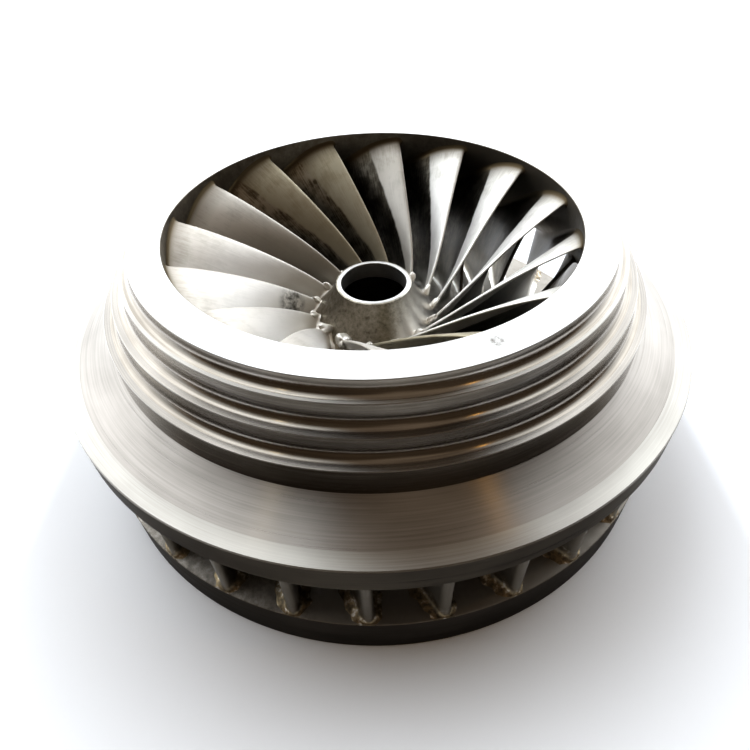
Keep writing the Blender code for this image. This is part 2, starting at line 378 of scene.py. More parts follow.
def camber(u, v):
    """Middle surface: hub and band points blended by v, bowed at the outlet, turned about Z."""
    hub = crown_flow(HUB_SPAN[0] + (HUB_SPAN[1] - HUB_SPAN[0]) * u)
    band = band_flow(BAND_SPAN[0] + (BAND_SPAN[1] - BAND_SPAN[0]) * u)
    outlet_radius = OUTLET_HUB_RADIUS + (THROAT_RADIUS - OUTLET_HUB_RADIUS) * v
    outlet_z = OUTLET_HUB_Z + (OUTLET_BAND_Z - OUTLET_HUB_Z) * v + 4 * OUTLET_BOW * v * (1 - v)
    inward = 1 - v
    outlet_angle = OUTLET_BAND_ANGLE - OUTLET_SWEEP[0] * inward - OUTLET_SWEEP[1] * inward ** 3
    hub_foot = crown_flow(np.full_like(v, HUB_SPAN[0]))
    band_foot = band_flow(np.full_like(v, BAND_SPAN[0]))
    straight = hub_foot + (band_foot - hub_foot) * v[..., None]
    bow = (np.stack([outlet_radius, outlet_z], axis=-1) - straight) * (1 - u)[..., None] ** 2
    middle = hub + (band - hub) * v[..., None] + bow
    strip_turn = STRIP_TURN[0] + (STRIP_TURN[1] - STRIP_TURN[0]) * v
    along_strip = u * (1 + STRIP_LENGTH) / (u + STRIP_LENGTH)
    along_blade = 1 - (1 - u) ** TURN_EASING
    rest = INLET_ANGLE - outlet_angle - strip_turn
    angle = outlet_angle + strip_turn * along_strip + rest * along_blade
    return np.stack([middle[..., 0] * np.cos(angle), middle[..., 0] * np.sin(angle),
                     middle[..., 1]], axis=-1)


print("outlet edge meets the band at", camber(np.array(0.0), np.array(1.0)).round(4))

# %% [markdown]
# ## Blade thickness
# The plate is 5 mm thick at its outlet edge and 17 mm near its rounded inlet nose. A Solidify
# modifier would give it one thickness, so half of the thickness is a function of u as well.

# %% Plate direction, length and thickness
OUTLET_THICKNESS = 0.005
BODY_THICKNESS = 0.017
SWELL_POWER = 0.6
NOSE_LENGTH = 0.010
TAIL_ROUND = 0.0025
SLOPE_STEP = 1e-3
CHORD_POINTS = 40
RUN_POINTS = 24


def unit(vectors):
    """Vectors divided by their lengths."""
    return vectors / np.linalg.norm(vectors, axis=-1, keepdims=True)


def plate_normal(u, v):
    """Direction at right angles to the middle surface, from its slopes along u and v."""
    low_u, high_u = np.maximum(u - SLOPE_STEP, 0), np.minimum(u + SLOPE_STEP, 1)
    low_v, high_v = np.maximum(v - SLOPE_STEP, 0), np.minimum(v + SLOPE_STEP, 1)
    along = camber(high_u, v) - camber(low_u, v)
    across = camber(u, high_v) - camber(u, low_v)
    return unit(np.cross(along, across))


def run_length(u, v, start, count):
    """Length of the plate from its outlet edge to each point, as the sum of short steps."""
    line_u = start + (u - start) * np.linspace(0, 1, count).reshape(-1, *[1] * u.ndim)
    line_v = np.broadcast_to(v, line_u.shape)
    return np.linalg.norm(np.diff(camber(line_u, line_v), axis=0), axis=-1).sum(axis=0)


def half_thickness(u, v, start):
    """Half the plate: swelling from the outlet, an elliptical nose and a round outlet edge."""
    chord = run_length(np.ones_like(v), v, start, CHORD_POINTS) / (1 - start)
    swell = np.clip((u - start) / (1 - start), 0, 1) ** SWELL_POWER
    body = 0.5 * (OUTLET_THICKNESS + (BODY_THICKNESS - OUTLET_THICKNESS) * swell)
    from_nose = np.clip((1 - u) * chord / NOSE_LENGTH, 0, 1)
    from_tail = np.clip((u - start) * chord / TAIL_ROUND, 0, 1)
    nose = np.sqrt(np.clip(1 - (1 - from_nose) ** 2, 0, 1))
    tail = np.sqrt(np.clip(1 - (1 - from_tail) ** 2, 0, 1))
    return body * nose * tail


print("plate length at the hub:", run_length(np.ones(1), np.zeros(1), 0.0, CHORD_POINTS).round(3))

# %% [markdown]
# ## Weld fillets
# Where the plate meets crown and band, the weld is ground to a concave fillet. A modifier can't
# make that, because the wall and the blade are separate curved surfaces. So the section loop of
# the blade opens out at each end along a quadratic curve, whose middle point is the corner where
# blade and wall meet.

# %% Fillet between a blade and a wall
CROWN_WALL = (crown_flow, 1)
BAND_WALL = (band_flow, -1)
WALL_POINTS = 4 * CURVE_SAMPLES
FILLET_ROWS = 7
ROOT_SINK = 0.0004
WALL_PROBE = 0.001


def on_wall(points, wall, sink):
    """Move points to the nearest place of a turned wall, and then into its metal by sink."""
    curve, metal_side = wall
    line = curve(np.linspace(0, 1, WALL_POINTS))
    tangent = unit(np.gradient(line, axis=0))
    into_metal = metal_side * np.stack([tangent[:, 1], -tangent[:, 0]], axis=1)
    radius = np.hypot(points[..., 0], points[..., 1])
    flat = np.stack([radius, points[..., 2]], axis=-1)
    nearest = np.linalg.norm(flat[..., None, :] - line, axis=-1).argmin(axis=-1)
    place = line[nearest] + sink * into_metal[nearest]
    scale = place[..., 0] / radius
    return np.stack([points[..., 0] * scale, points[..., 1] * scale, place[..., 1]], axis=-1)


def root_fillet(u, side, start, end, body_edge, leg, wall):
    """Quadratic curves from the blade's side to a foot that lies one leg out on the wall.

    The foot is the section loop at the wall, moved at right angles to the loop and in the wall.
    """
    v = np.full_like(u, end)
    sideways = side[:, None] * plate_normal(u, v)
    corner = on_wall(camber(u, v) + half_thickness(u, v, start)[:, None] * sideways, wall, 0.0)
    loop_run = np.roll(corner, -1, axis=0) - np.roll(corner, 1, axis=0)
    out_of_wall = unit(on_wall(corner, wall, -WALL_PROBE) - corner)
    outward = unit(np.cross(loop_run, out_of_wall))
    outward *= np.sign((outward * sideways).sum())
    foot = on_wall(corner + leg[:, None] * outward, wall, ROOT_SINK)
    t = np.linspace(0, 1, FILLET_ROWS)[1:, None, None]
    return (1 - t) ** 2 * body_edge + 2 * (1 - t) * t * corner + t ** 2 * foot


print("rows of points in a fillet:", FILLET_ROWS)

# %% [markdown]
# ## A whole blade
# The section loop is carried from crown to band in one grid of points, so plate and fillets are
# one skin. The hub fillet grows toward the inlet and wanders, as a weld laid by hand does.

# %% Points and faces of a blade
LONG_STATIONS = 44
SHORT_STATIONS = 28
EDGE_STATIONS = (0.0, 0.0004, 0.0014, 0.003)
BODY_ROWS = 20
HUB_FILLET = 0.011
HUB_OUTLET_EXTRA = -0.004
HUB_INLET_EXTRA = 0.014
HUB_NOSE_CUT = 0.8
NOSE_FADE = 0.022
BAND_FILLET = 0.010
FILLET_FADE = 0.04
INLET_FADE = 0.14
WELD_WAVES = ((0.021, 0.13, 2.4), (0.013, 0.10, 4.1))


def loop_stations(start, count):
    """u round the section, out along one side and back, and the side's sign: +1 or -1."""
    spread = 0.5 - 0.5 * np.cos(np.linspace(0, math.pi, count))
    ends = np.array(EDGE_STATIONS)
    middle = spread * (1 - 2 * ends[-1]) + ends[-1]
    line = start + (1 - start) * np.concatenate([ends[:-1], middle, 1 - ends[:-1][::-1]])
    u = np.concatenate([line, line[-2:0:-1]])
    side = np.concatenate([np.ones(len(line)), -np.ones(len(line) - 2)])
    return u, side


def weld_wave(run, side, number):
    """Factor near 1 that wanders along a weld: two sines of the run, shifted for each blade."""
    wave = np.ones_like(run)
    for length, height, shift in WELD_WAVES:
        wave += height * np.sin(math.tau * run / length + shift * (number + 3 * side))
    return wave


def blade_points(start, count, number):
    """Rows of section loops from the foot on the crown to the foot on the band.

    With each point come its u and its v on the middle surface.
    """
    u, side = loop_stations(start, count)
    height = np.linalg.norm(camber(u, np.ones_like(u)) - camber(u, np.zeros_like(u)), axis=-1)
    hub_run = run_length(np.ones_like(u), np.zeros_like(u), 0.0, CHORD_POINTS)
    wave = weld_wave((u - start) * hub_run, side, number)
    hub_leg = wave * (HUB_FILLET + HUB_OUTLET_EXTRA * np.exp(-(u - start) / FILLET_FADE)
                      + HUB_INLET_EXTRA * np.exp(-(1 - u) / INLET_FADE))
    hub_leg = hub_leg * (1 - HUB_NOSE_CUT * np.exp(-(1 - u) / NOSE_FADE))
    band_leg = np.full_like(u, BAND_FILLET)
    low, high = hub_leg / height, 1 - band_leg / height
    share = np.linspace(0, 1, BODY_ROWS)[:, None]
    body_v = low + (high - low) * share
    body_u = np.broadcast_to(u, body_v.shape)
    sideways = side[:, None] * plate_normal(body_u, body_v)
    body = camber(body_u, body_v) + half_thickness(body_u, body_v, start)[..., None] * sideways
    hub = root_fillet(u, side, start, 0.0, body[0], hub_leg, CROWN_WALL)
    band = root_fillet(u, side, start, 1.0, body[-1], band_leg, BAND_WALL)
    points = np.concatenate([hub[::-1], body, band])
    feet = np.ones((FILLET_ROWS - 1, len(u)))
    span = np.concatenate([0 * feet, body_v, feet])
    return points, np.broadcast_to(u, span.shape), span


def loop_faces(rows, around):
    """Quads between neighbouring loops, and across the first and the last loop to close them."""
    row, place = np.meshgrid(np.arange(rows - 1), np.arange(around), indexing="ij")
    after = (place + 1) % around
    sides = np.stack([row * around + place, row * around + after,
                      (row + 1) * around + after, (row + 1) * around + place], axis=-1)
    near = np.arange(around // 2)
    far = (around - near) % around
    first = np.stack([near, far, (around - near - 1) % around, near + 1], axis=-1)
    last = first[:, ::-1] + (rows - 1) * around
    return sides.reshape(-1, 4), first, last


def signed_volume(points, faces):
    """Sum of the volumes under the faces' triangles; it is negative where faces point inward."""
    a, b, c, d = (points[faces[:, k]] for k in range(4))
    return (np.cross(a, b) * c).sum() / 6 + (np.cross(a, c) * d).sum() / 6


def blade_faces(points):
    """All faces of one blade, turned outward. A cap face with a doubled corner is a triangle."""
    rows, around = points.shape[:2]
    sides, first, last = loop_faces(rows, around)
    quads = np.concatenate([sides, first, last])
    if signed_volume(points.reshape(-1, 3), quads) < 0:
        quads = quads[:, ::-1]
    return [tuple(dict.fromkeys(face)) for face in quads.tolist()]


print("rows and points in a row:", blade_points(0.0, LONG_STATIONS, 0)[0].shape[:2])

# %% [markdown]
# ## Weld beads
# A lump of weld metal was left at the hub end of each outlet edge. Each is a small closed ball
# whose radius wanders, because sculpting fifteen of them would take long and show no more.

# %% Beads
BEAD_RADII = (0.0105, 0.0062, 0.0056)
BEAD_STEPS = (12, 16)
BEAD_LUMPS = 0.24
BEAD_SPAN = 0.05
BEAD_SHIFT = 0.002
BEAD_GROWTH = 0.12
BIG_BEAD = 2.2
BIG_BEAD_BLADES = (11, 12)
POLE_ANGLE = 1e-6


def bead(centre, forward, upward, number, size):
    """Lumpy closed ball of weld metal: an ellipsoid whose radius wanders with two angles."""
    rings, around = BEAD_STEPS
    tilt = np.linspace(0, math.pi, rings + 1)[:, None]
    turn = np.arange(around)[None, :] * math.tau / around
    lump = 1 + BEAD_LUMPS * np.sin(3 * turn + number) * np.sin(2 * tilt + 1.7 * number)
    lump = np.where((tilt < POLE_ANGLE) | (tilt > math.pi - POLE_ANGLE), 1.0, lump)
    round_ball = np.stack([np.cos(tilt) + 0 * turn, np.sin(tilt) * np.cos(turn),
                           np.sin(tilt) * np.sin(turn)], axis=-1) * lump[..., None]
    bead_axes = np.stack([forward, upward, np.cross(forward, upward)])
    points = centre + (round_ball * size * np.array(BEAD_RADII)) @ bead_axes
    inner = 1 + np.arange((rings - 1) * around).reshape(rings - 1, around)
    after = np.roll(inner, -1, axis=1)
    sides = np.stack([inner[:-1], inner[1:], after[1:], after[:-1]], axis=-1).reshape(-1, 4)
    last = 1 + (rings - 1) * around
    tips = [(0, int(a), int(b)) for a, b in zip(inner[0], after[0])]
    tips += [(last, int(b), int(a)) for a, b in zip(inner[-1], after[-1])]
    flat = np.vstack([points[0, :1], points[1:-1].reshape(-1, 3), points[-1, :1]])
    return flat, [tuple(face) for face in sides.tolist()] + tips


def outlet_bead(number):
    """Bead at the hub end of an outlet edge, laid along the edge."""
    low, high = camber(np.array(0.0), np.array(0.0)), camber(np.array(0.0), np.array(BEAD_SPAN))
    forward = unit(high - low)
    upward = unit(np.cross(forward, plate_normal(np.array(0.0), np.array(0.04))))
    shift = BEAD_SHIFT * math.sin(2.3 * number)
    size = 1 + BEAD_GROWTH * math.sin(3.1 * number)
    if number + 1 in BIG_BEAD_BLADES:
        size = BIG_BEAD
    return bead((low + high) / 2 + shift * forward, forward, upward, number, size)


print("faces of a bead:", len(outlet_bead(0)[1]))

# %% [markdown]
# ## Fifteen blades of each kind
# The blades are made one by one, since every weld differs, and turned about the axis. Numbers
# kept on the points tell the steels where a root, the outlet edge, the hub and the band are.

# %% Blade meshes
ROOT_FADE_START = 1.6
ROOT_FADE_SLOPE = 1.4


def fillet_share(rows, around, first):
    """1 on a root fillet, falling to 0 just above its upper end."""
    fade = np.clip(ROOT_FADE_START - ROOT_FADE_SLOPE * np.arange(rows) / FILLET_ROWS, 0, 1)
    return np.repeat(fade if first else fade[::-1], around)


def blade_ring(label, start, stations, first_angle, beads):
    """Fifteen meshes of one blade, each turned about Z by its own angle and with its own weld."""
    meshes = []
    _, first_u, first_span = blade_points(start, stations, 0)
    run = run_length(first_u, first_span, start, RUN_POINTS).ravel()
    for number in range(BLADE_COUNT):
        points, _, span = blade_points(start, stations, number)
        rows, around = points.shape[:2]
        values = {"band_root": (fillet_share(rows, around, False), 0.0),
                  "hub_root": (fillet_share(rows, around, True), 1.0),
                  "from_outlet": (run, 0.0),
                  "span": (span.ravel(), 0.0)}
        faces = blade_faces(points)
        points = points.reshape(-1, 3)
        if beads:
            lump, lump_faces = outlet_bead(number)
            faces = faces + [tuple(k + len(points) for k in face) for face in lump_faces]
            points = np.vstack([points, lump])
        angle = first_angle + number * math.tau / BLADE_COUNT
        turn = np.array(((math.cos(angle), math.sin(angle), 0),
                         (-math.sin(angle), math.cos(angle), 0), (0, 0, 1)))
        mesh = bpy.data.meshes.new(f"{label}_{number + 1:02d}")
        mesh.from_pydata((points @ turn).tolist(), [], faces)
        mesh.shade_smooth()
        for name, (numbers, on_bead) in values.items():
            every = np.append(numbers, np.full(len(points) - len(numbers), on_bead))
            attribute = mesh.attributes.new(name, "FLOAT", "POINT")
            attribute.data.foreach_set("value", every.astype(np.float32))
        meshes.append(mesh)
    return meshes


LONG_MESHES = blade_ring("dressed_long_blade", 0.0, LONG_STATIONS, 0.0, True)
SHORT_MESHES = blade_ring("dressed_short_blade", SHORT_BLADE_START, SHORT_STATIONS,
                          math.pi / BLADE_COUNT, False)
print("faces of a long blade:", len(LONG_MESHES[0].polygons))
print("faces of a short blade:", len(SHORT_MESHES[0].polygons))

# %% [markdown]
# ## Steel
# All of it is one stainless casting steel. Its faces were turned on a lathe, ground by hand,
# welded, or left to stain. A metal's colour is its reflection at right angles, so a darker value
# stands for a rougher, stained or oiled face. On the rim, the crown's side, the lower ledges, the
# blade inlets and the blades that face the dark, a darker value is also painted shade, and the
# welds, the hub's right flank and the blades that face the bright sky carry painted light. The
# patterns are noise read in metres. Pictures of steel could be laid on instead, but nodes stay
# sharp from close by and need no file.

# %% Layers, relief and spots
NOISE_RANGE = (0.3, 0.7)
SPOT_CORE = 0.4
SPOT_GRAINS = 3.0
SPOT_RANGE = (0.36, 0.64)


def cover(tree, colour, layers):
    """Lay colours over a first one: each (share, layer) pair gives c (1 - share) + layer share."""
    for share, layer in layers:
        mixed = add_node(tree, "Mix", {0: share, 6: colour, 7: layer},
                         data_type="RGBA")
        colour = mixed.outputs[2]
    return colour


def relief(tree, pattern, reach, rough, strength, depth):
    """Roughness that goes over a range as the pattern does over its reach, and a bumpy normal."""
    level = add_node(tree, "MapRange",
                     {0: pattern, 1: reach[0], 2: reach[1], 3: rough[0], 4: rough[1]})
    bumps = add_node(tree, "Bump",
                     {"Height": pattern, "Strength": strength, "Distance": depth})
    return level, bumps


def spot_share(tree, place, centre, radius):
    """Ragged spot: 1 near its centre and 0 at its radius, thinned by a fine noise."""
    gap = add_node(tree, "VectorMath", {0: place, 1: centre}, operation="DISTANCE")
    near = add_node(tree, "MapRange", {0: gap.outputs["Value"], 1: radius, 2: SPOT_CORE * radius},
                    interpolation_type="SMOOTHSTEP")
    speckle = add_node(tree, "TexNoise", {"Vector": place, "Scale": SPOT_GRAINS / radius,
                                          "Detail": 6.0, "Roughness": 0.7})
    torn = add_node(tree, "MapRange", {0: speckle, 1: SPOT_RANGE[0], 2: SPOT_RANGE[1]})
    return add_node(tree, "Math", {0: near, 1: torn}, operation="MULTIPLY")


print("a spot is thickest inside", SPOT_CORE, "of its radius")

# %% [markdown]
# ## Turned steel
# A lathe tool leaves a fine spiral, which pulls each highlight into a streak across it. The
# shader does that with its anisotropic setting, along the turn. Marks from a real feed are 0.1
# to 0.3 mm apart. Here they are 1.4 to 5 mm apart, because finer ones would vanish between
# pixels. A slow cloud under them stands for uneven wear.

# %% Turned steels
QUARTER_TURN = 0.25
MARK_ARCS = 2.0
CLOUD_ARCS = 3.0
CLOUDS_PER_METRE = 14.0
TURNED_STOPS = (0.38, 0.62)
TURNED_DEPTH = 0.0003
SCUFF_COLOUR = "57514a"
SCUFF_PLACE = (0.1362, -0.3048, 0.394)
SCUFF_RADIUS = 0.012


def ring_marks(tree, around, along):
    """Coordinates for lathe marks: the direction from the axis, and length along the outline.

    The direction is x/r and y/r times around, and the third number is length times along, so a
    noise read there is stretched into rings that meet themselves after a full turn.
    """
    place = add_node(tree, "TexCoord").outputs["Object"]
    flat = add_node(tree, "VectorMath", {0: place, 1: (1, 1, 0)}, operation="MULTIPLY")
    heading = add_node(tree, "VectorMath", {0: flat}, operation="NORMALIZE")
    run = add_node(tree, "UVMap", uv_map="length_map")
    parts = add_node(tree, "SeparateXYZ", {0: run})
    length = add_node(tree, "Math", {0: parts.outputs["Y"], 1: along},
                      operation="MULTIPLY")
    third = add_node(tree, "CombineXYZ", {"Z": length})
    return add_node(tree, "VectorMath", {0: heading, 1: [around] * 3, 2: third},
                    operation="MULTIPLY_ADD")


def turned_steel(name, dark, light, roughness, spread, marks_per_metre, bump, anisotropy,
                 edge_tint="ffffff"):
    """Lathe-turned steel: ring marks vary colour, roughness and height, and streak highlights."""
    material, tree, shader = new_material(name)
    marks = add_node(tree, "TexNoise",
                     {"Vector": ring_marks(tree, MARK_ARCS, marks_per_metre), "Scale": 1.0,
                      "Detail": 3.0, "Roughness": 0.6})
    cloud = add_node(tree, "TexNoise",
                     {"Vector": ring_marks(tree, CLOUD_ARCS, CLOUDS_PER_METRE), "Scale": 1.0,
                      "Detail": 3.0})
    both = add_node(tree, "Mix", {0: 0.5, 2: marks, 3: cloud})
    ramp = set_ramp(add_node(tree, "ValToRGB", {0: both}), TURNED_STOPS, (dark, light))
    place = add_node(tree, "TexCoord").outputs["Object"]
    scuff = spot_share(tree, place, SCUFF_PLACE, SCUFF_RADIUS)
    rough, bumps = relief(tree, marks, NOISE_RANGE, (roughness - spread, roughness + spread),
                          bump, TURNED_DEPTH)
    tangent = add_node(tree, "Tangent", direction_type="UV_MAP", uv_map="length_map")
    colour = cover(tree, ramp, [(scuff, linear(SCUFF_COLOUR))])
    fill(tree, shader, {
        "Metallic": 1.0, "Anisotropic": anisotropy, "Anisotropic Rotation": QUARTER_TURN,
        "Specular Tint": linear(edge_tint), "Base Color": colour, "Roughness": rough,
        "Normal": bumps, "Tangent": tangent})
    return material


# Faced across with a fine feed and wiped clean: the palest and most even of the turned faces.
FACED = turned_steel("faced_stainless_steel", "a8a6a2", "b8b6b2", 0.34, 0.03, 700, 0.08, 0.5)
# Turned to a close fit and rubbed with emery: nearly mirrors, drawn into upright streaks.
WALLS = turned_steel("turned_seal_wall_steel", "7a7369", "9c958b", 0.19, 0.03, 320, 0.06, 0.85)
# Cut by the side of a round-nosed tool: satin, with a glow that spreads across the ledge.
LEDGES = turned_steel("turned_ledge_steel", "908b84", "a6a29a", 0.32, 0.05, 500, 0.2, 0.9)
# The same tool with a light last cut: smoother, and darker as painted shade on the lower ledges,
# so they gleam less.
LOW_LEDGES = turned_steel("smooth_ledge_steel_painted_shade", "7d7871", "938d85", 0.20, 0.03, 500, 0.1,
                          0.8)
# Turned with the slide set at an angle: an even satin that darkens toward the camera.
CONE = turned_steel("satin_turned_cone_steel", "7f7a73", "969089", 0.30, 0.03, 400, 0.08, 0.9)
# Turned flat in one quick pass: pale satin, a bright line round the foot of the cone.
STRIP = turned_steel("turned_flat_strip_steel", "908b84", "a6a29a", 0.34, 0.03, 500, 0.1, 0.9)
# Turned rim, nearly black as painted shade, and a grey edge tint dulls even its glancing light.
RIM = turned_steel("turned_rim_steel_painted_shade", "3f3a35", "5a544b", 0.34, 0.08, 260, 0.2, 0.7,
                   "b0b0b0")
# Roughed with a deep feed and never finished: coarse rings, on a side darkened as painted shade.
CAST = turned_steel("rough_crown_steel_painted_shade", "35312c", "504a44", 0.42, 0.08, 200, 0.3, 0.3,
                    "b0b0b0")
# Bored to size and kept greased: clean and pale inside the hub.
BORE = turned_steel("turned_bore_steel", "a09c95", "b5b1aa", 0.36, 0.05, 500, 0.1, 0.6)
print("turned steels:", len(bpy.data.materials))

# %% [markdown]
# ## Stained steel
# Throat, hub and inlet faces were ground with hand wheels, then handled and oiled. Stains have
# no direction, so plain noise with many levels draws their blotches, 9 to 42 mm across as the
# real ones are, and dark blotches are the rougher ones.

# %% Stained steels
STAIN_STOPS = (0.30, 0.50, 0.70)
STAIN_RANGE = (0.35, 0.65)
STAIN_DULLS = 0.1
STAIN_GLEAMS = 0.06
GROUND_DEPTH = 0.0005
PATCH_HEADING = (0.94, -0.34, 0.0)
PATCH_EDGE = (0.045, 0.085)


def stained_steel(name, stain, dark, light, patch, scale, roughness):
    """Blotches of oil stain over a ground face, and another tone on one flank of the axis."""
    material, tree, shader = new_material(name)
    place = add_node(tree, "TexCoord").outputs["Object"]
    blotch = add_node(tree, "TexNoise",
                      {"Vector": place, "Scale": scale, "Detail": 8.0, "Roughness": 0.75})
    colour = set_ramp(add_node(tree, "ValToRGB", {0: blotch}), STAIN_STOPS,
                      (stain, dark, light))
    # On the hub this flank tone is a painted highlight, white on its right; throat and inlet take
    # an even tone there.
    flank = add_node(tree, "VectorMath", {0: place, 1: PATCH_HEADING},
                     operation="DOT_PRODUCT")
    flank_share = add_node(tree, "MapRange",
                     {0: flank.outputs["Value"], 1: PATCH_EDGE[0], 2: PATCH_EDGE[1]},
                     interpolation_type="SMOOTHSTEP")
    patched = cover(tree, colour, [(flank_share, linear(patch))])
    rough, bumps = relief(tree, blotch, STAIN_RANGE,
                          (roughness + STAIN_DULLS, roughness - STAIN_GLEAMS), 0.2, GROUND_DEPTH)
    fill(tree, shader, {"Metallic": 1.0, "Base Color": patched, "Roughness": rough,
                        "Normal": bumps})
    return material


# Ground along the flow and dulled by water: brown grey, with hardly any mirror.
THROAT = stained_steel("ground_throat_steel", "4f493f", "665f54", "7d766a", "665f54", 24.0, 0.42)
# Ground bright and marked by oily hands: brown blotches, and a white flank to the right that is
# a painted highlight.
FLOW = stained_steel("stained_hub_steel_painted_highlight", "5f584c", "8f897c", "a8a296", "d2cec6", 110.0, 0.38)
# Cast skin that was only brushed: a mottled grey floor between the inlet edges.
INLET = stained_steel("dark_inlet_face_steel", "69645d", "8f8980", "b3ada4", "8f8980", 70.0, 0.46)
print("turned and stained steels:", len(bpy.data.materials))

# %% [markdown]
# ## Blade steel
# A blade is ground by hand beside its outlet edge. The blades' tones differ as painted light and
# shade: blades that face the bright sky take pale copies of one steel, and blades that face the
# dark take dark ones. Each could be painted by hand. Here the numbers on the points place strip,
# roots and welds, so one function serves all. Real grit scratches are under 0.1 mm wide and are
# drawn 2.4 mm wide.

# %% Where a blade is ground
STRIP_AT_HUB = 0.018
STRIP_SPREAD = 0.054
STRIP_WAVE = 0.008
STRIP_EDGE = 0.005
STRIP_ROUGHNESS = 0.55
# These three numbers place the painted highlight on a blade.
SHEEN_SPAN = 0.8
SHEEN_AT_EDGE = 0.55
SHEEN_GROWTH = 36.0
PATCHES_PER_METRE = 30.0
MARKS_ACROSS = 420.0
MARKS_ALONG = 7.0
MARKS_SHARE = 0.35


def strip_mask(tree, place, span, run, reach):
    """1 on the ground strip beside the outlet edge, 0 beyond its wavy edge.

    The strip is some 22 mm wide at the hub (span 0) and 76 mm at the band (span 1), times reach.
    """
    width = add_node(tree, "Math",
                     {0: span, 1: reach * STRIP_SPREAD, 2: reach * STRIP_AT_HUB},
                     operation="MULTIPLY_ADD")
    wave = add_node(tree, "TexNoise",
                    {"Vector": place, "Scale": PATCHES_PER_METRE, "Detail": 2.0})
    wavy = add_node(tree, "Math", {0: wave, 1: STRIP_WAVE, 2: width},
                    operation="MULTIPLY_ADD")
    left = add_node(tree, "Math", {0: wavy, 1: run}, operation="SUBTRACT")
    return add_node(tree, "MapRange", {0: left, 1: 0.0, 2: STRIP_EDGE},
                    interpolation_type="SMOOTHSTEP")


def painted_sheen_share(tree, span, run):
    """Share of the painted highlight: (0.8 - span) times (0.55 + 36 run), held between 0 and 1."""
    toward_hub = add_node(tree, "Math", {0: SHEEN_SPAN, 1: span}, operation="SUBTRACT")
    inward = add_node(tree, "Math", {0: run, 1: SHEEN_GROWTH, 2: SHEEN_AT_EDGE},
                      operation="MULTIPLY_ADD")
    return add_node(tree, "Math", {0: toward_hub, 1: inward}, operation="MULTIPLY",
                    use_clamp=True)


def grinding_marks(tree, span, run):
    """Noise stretched along the blade: fine across the run, long from hub to band."""
    across = add_node(tree, "Math", {0: run, 1: MARKS_ACROSS}, operation="MULTIPLY")
    along = add_node(tree, "Math", {0: span, 1: MARKS_ALONG}, operation="MULTIPLY")
    spot = add_node(tree, "CombineXYZ", {"X": across, "Y": along})
    return add_node(tree, "TexNoise", {"Vector": spot, "Scale": 1.0, "Detail": 3.0})


print("the ground strip is wider at the band by", STRIP_SPREAD, "m")

# %% [markdown]
# ## Colours of a blade
# From below upward the layers are the cast skin, darkened as painted shade on the blades that
# face the dark, the ground strip with a painted highlight toward the hub, one smudge, brown roots
# at the band, painted shade at the inlet, and the welds at the hub. Those are near white near the
# throat, partly a painted highlight, and at the inlet stained straw to brown by heat and darkened
# as painted shade.

# %% Blade steels
BODY_STOPS = (0.43, 0.50, 0.57)
STRIP_STOPS = (0.38, 0.54)
WELD_STOPS = (0.34, 0.58, 0.74)
WELD_GRAINS_PER_METRE = 110.0
# The weld colour is near white, partly a painted highlight.
WELD_SHEEN_COLOUR = "e6e2da"
WELD_STAINS = ("4f473a", "8c7d63", WELD_SHEEN_COLOUR)
ROOT_BROWN = "5f533f"
# Painted shade: the blades darken toward the inlet, in the passages under the band, between these
# radii.
INLET_SHADE_COLOUR = "6a645a"
INLET_SHADE_RADII = (0.40, 0.455)
SMUDGE_PLACE = (-0.1403, -0.0134, 0.2401)
SMUDGE_RADIUS = 0.036
SMUDGE_COLOUR = "57534c"
GROUND_SPREAD = 0.06


